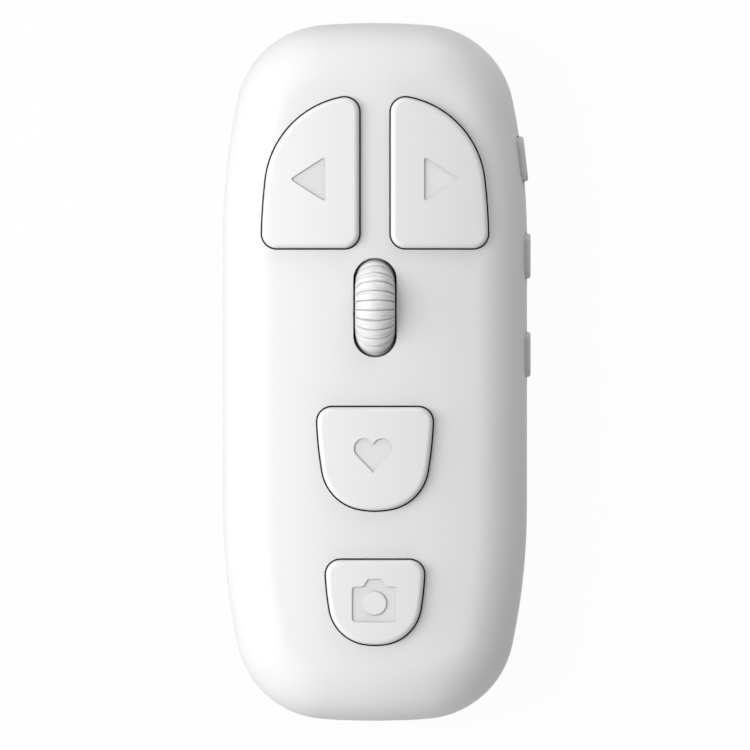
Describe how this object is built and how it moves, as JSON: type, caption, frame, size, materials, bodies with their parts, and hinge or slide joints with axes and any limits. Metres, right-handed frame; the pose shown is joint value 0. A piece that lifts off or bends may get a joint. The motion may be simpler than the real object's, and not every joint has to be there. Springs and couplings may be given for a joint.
{
  "type": "bluetooth scroll wheel remote",
  "caption": "Pebble-shaped hand remote with arrow, like and camera keys, a ribbed scroll wheel that turns and clicks, side keys and a charging socket.",
  "frame": {"origin": "centre of the flat back face", "axes": "+X right and +Y towards the arrow keys, seen from the front; +Z out of the key face"},
  "size_m": [0.0397, 0.09, 0.0199],
  "materials": {
    "case_white": "moulded, fine matte texture",
    "key_white": "moulded, smooth matte",
    "tyre_white": "satin elastomer with cross ribs",
    "hub_white": "natural acetal",
    "switch_black": "black moulded",
    "plunger_grey": "grey moulded",
    "steel_sheet": "stamped and tinned",
    "board_green": "solder mask over glass laminate",
    "module_blue": "solder mask over glass laminate",
    "cell_foil": "satin pouch foil",
    "foam_grey": "open foam pad",
    "lead_red": "silicone sleeve",
    "lead_black": "silicone sleeve",
    "chip_black": "moulded package",
    "passive_tan": "ceramic chip with tinned ends",
    "tongue_black": "moulded insulator",
    "gold_pin": "plated",
    "screw_zinc": "zinc plated"
  },
  "bodies": {
    "housing": {"front_shell": "case_white", "back_shell": "case_white", "circuit_board": "board_green", "axle_guide": "switch_black", "encoder_body": "switch_black", "encoder_cover": "steel_sheet", "encoder_pins": "gold_pin", "battery_pack": "cell_foil", "battery_foam": "foam_grey", "battery_lead_red": "lead_red", "battery_lead_black": "lead_black", "usb_receptacle": "steel_sheet", "usb_tongue": "tongue_black", "bluetooth_module": "module_blue", "module_shield": "steel_sheet", "charge_chip": "chip_black", "board_passives": "passive_tan", "shell_screws": "screw_zinc", "prev_switch_base": "switch_black", "prev_switch_cover": "steel_sheet", "next_switch_base": "switch_black", "next_switch_cover": "steel_sheet", "like_switch_base": "switch_black", "like_switch_cover": "steel_sheet", "camera_switch_base": "switch_black", "camera_switch_cover": "steel_sheet", "wheel_switch_base": "switch_black", "wheel_switch_cover": "steel_sheet", "power_switch_base": "switch_black", "power_switch_cover": "steel_sheet", "volume_up_switch_base": "switch_black", "volume_up_switch_cover": "steel_sheet", "volume_down_switch_base": "switch_black", "volume_down_switch_cover": "steel_sheet"},
    "prev_key": {"prev_key_cap": "key_white", "prev_switch_plunger": "plunger_grey"},
    "next_key": {"next_key_cap": "key_white", "next_switch_plunger": "plunger_grey"},
    "like_key": {"like_key_cap": "key_white", "like_switch_plunger": "plunger_grey"},
    "camera_key": {"camera_key_cap": "key_white", "camera_switch_plunger": "plunger_grey"},
    "power_key": {"power_key_cap": "key_white", "power_switch_plunger": "plunger_grey"},
    "volume_up_key": {"volume_up_key_cap": "key_white", "volume_up_switch_plunger": "plunger_grey"},
    "volume_down_key": {"volume_down_key_cap": "key_white", "volume_down_switch_plunger": "plunger_grey"},
    "wheel_carrier": {"axle_bush": "hub_white", "wheel_switch_plunger": "plunger_grey"},
    "wheel": {"wheel_tyre": "tyre_white", "wheel_hub": "hub_white"},
    "encoder_wheel": {"encoder_rotor": "plunger_grey"}
  },
  "joints": [
    {"name": "prev_press", "type": "slide", "parent": "housing", "child": "prev_key", "axis": [0, 0, -1], "range_m": [0, 0.0003], "stiffness_N_per_m": 2000, "springref_m": -0.00005},
    {"name": "next_press", "type": "slide", "parent": "housing", "child": "next_key", "axis": [0, 0, -1], "range_m": [0, 0.0003], "stiffness_N_per_m": 2000, "springref_m": -0.00005},
    {"name": "like_press", "type": "slide", "parent": "housing", "child": "like_key", "axis": [0, 0, -1], "range_m": [0, 0.0003], "stiffness_N_per_m": 2000, "springref_m": -0.00005},
    {"name": "camera_press", "type": "slide", "parent": "housing", "child": "camera_key", "axis": [0, 0, -1], "range_m": [0, 0.0003], "stiffness_N_per_m": 2000, "springref_m": -0.00005},
    {"name": "power_press", "type": "slide", "parent": "housing", "child": "power_key", "axis": [-0.993, -0.1184, 0], "range_m": [0, 0.00025], "stiffness_N_per_m": 2000, "springref_m": -0.00005},
    {"name": "volume_up_press", "type": "slide", "parent": "housing", "child": "volume_up_key", "axis": [-1, 0, 0], "range_m": [0, 0.00025], "stiffness_N_per_m": 2000, "springref_m": -0.00005},
    {"name": "volume_down_press", "type": "slide", "parent": "housing", "child": "volume_down_key", "axis": [-1, 0, 0], "range_m": [0, 0.00025], "stiffness_N_per_m": 2000, "springref_m": -0.00005},
    {"name": "wheel_click", "type": "hinge", "parent": "housing", "child": "wheel_carrier", "pos_m": [0.0058, 0.00828, 0.0127], "axis": [0, -1, 0], "range_deg": [0, 1.5], "stiffness_Nm_per_rad": 0.4, "springref_deg": -0.57},
    {"name": "wheel_spin", "type": "hinge", "parent": "wheel_carrier", "child": "wheel", "pos_m": [0, 0.00828, 0.0127], "axis": [1, 0, 0], "continuous": true},
    {"name": "encoder_spin", "type": "hinge", "parent": "housing", "child": "encoder_wheel", "pos_m": [0.0058, 0.00828, 0.0127], "axis": [1, 0, 0], "continuous": true}
  ],
  "couplings": [
    {"joint": "encoder_spin", "follows": "wheel_spin", "ratio": 1}
  ]
}
